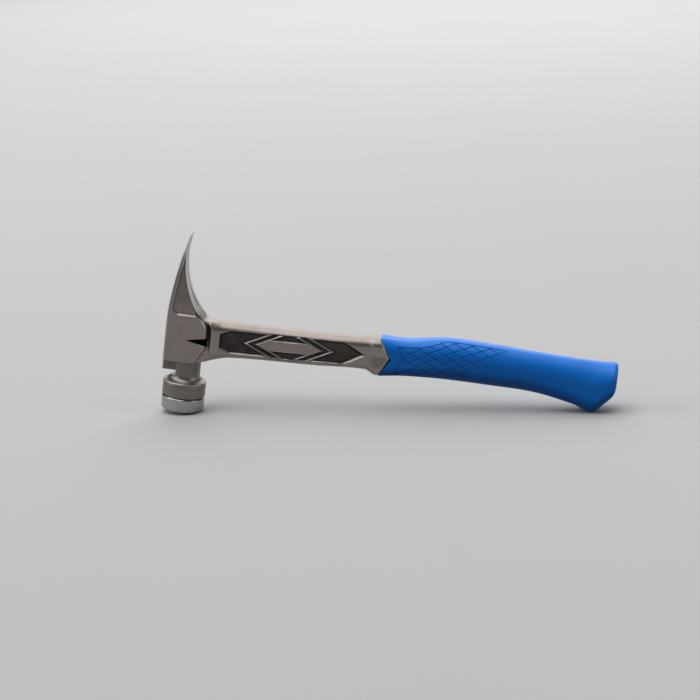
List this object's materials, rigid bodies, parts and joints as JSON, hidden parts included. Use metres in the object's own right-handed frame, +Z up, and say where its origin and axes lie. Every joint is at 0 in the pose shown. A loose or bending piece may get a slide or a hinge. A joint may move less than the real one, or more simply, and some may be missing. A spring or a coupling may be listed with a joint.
{
  "type": "framing hammer",
  "caption": "Framing hammer cast in one piece from claw to tang, with a screwed steel striking face, a straight slotted claw, side nail pullers, a nail starter and a moulded rubber grip.",
  "frame": {"origin": "middle of the hammer's box, on the ground that the striking face's rim and the grip's heel rest on", "axes": "+X along the handle from the head to the butt, +Z up from the striking face to the claw, Y across the hammer"},
  "size_m": [0.4112, 0.039, 0.1638],
  "materials": {
    "titanium": "warm grey titanium, blasted satin",
    "face_steel": "polished steel",
    "washer_rubber": "matt black rubber",
    "magnet_nickel": "nickel-plated magnet",
    "grip_rubber": "satin blue moulded elastomer with engraved crosshatch"
  },
  "bodies": {
    "hammer": {"hammer_body": "titanium", "nail_magnet": "magnet_nickel", "grip": "grip_rubber"},
    "washer": {"face_washer": "washer_rubber"},
    "face": {"striking_face": "face_steel"}
  },
  "joints": [
    {"name": "face_travel", "type": "slide", "parent": "hammer", "child": "washer", "axis": [-0.1364, 0, -0.9907], "range_m": [0, 0.01201]},
    {"name": "face_turn", "type": "hinge", "parent": "washer", "child": "face", "pos_m": [-0.18665, 0, 0.00247], "axis": [-0.1364, 0, -0.9907], "range_deg": [0, 2160]}
  ],
  "couplings": [
    {"joint": "face_travel", "follows": "face_turn", "m_per_rad": 0.00031831}
  ]
}
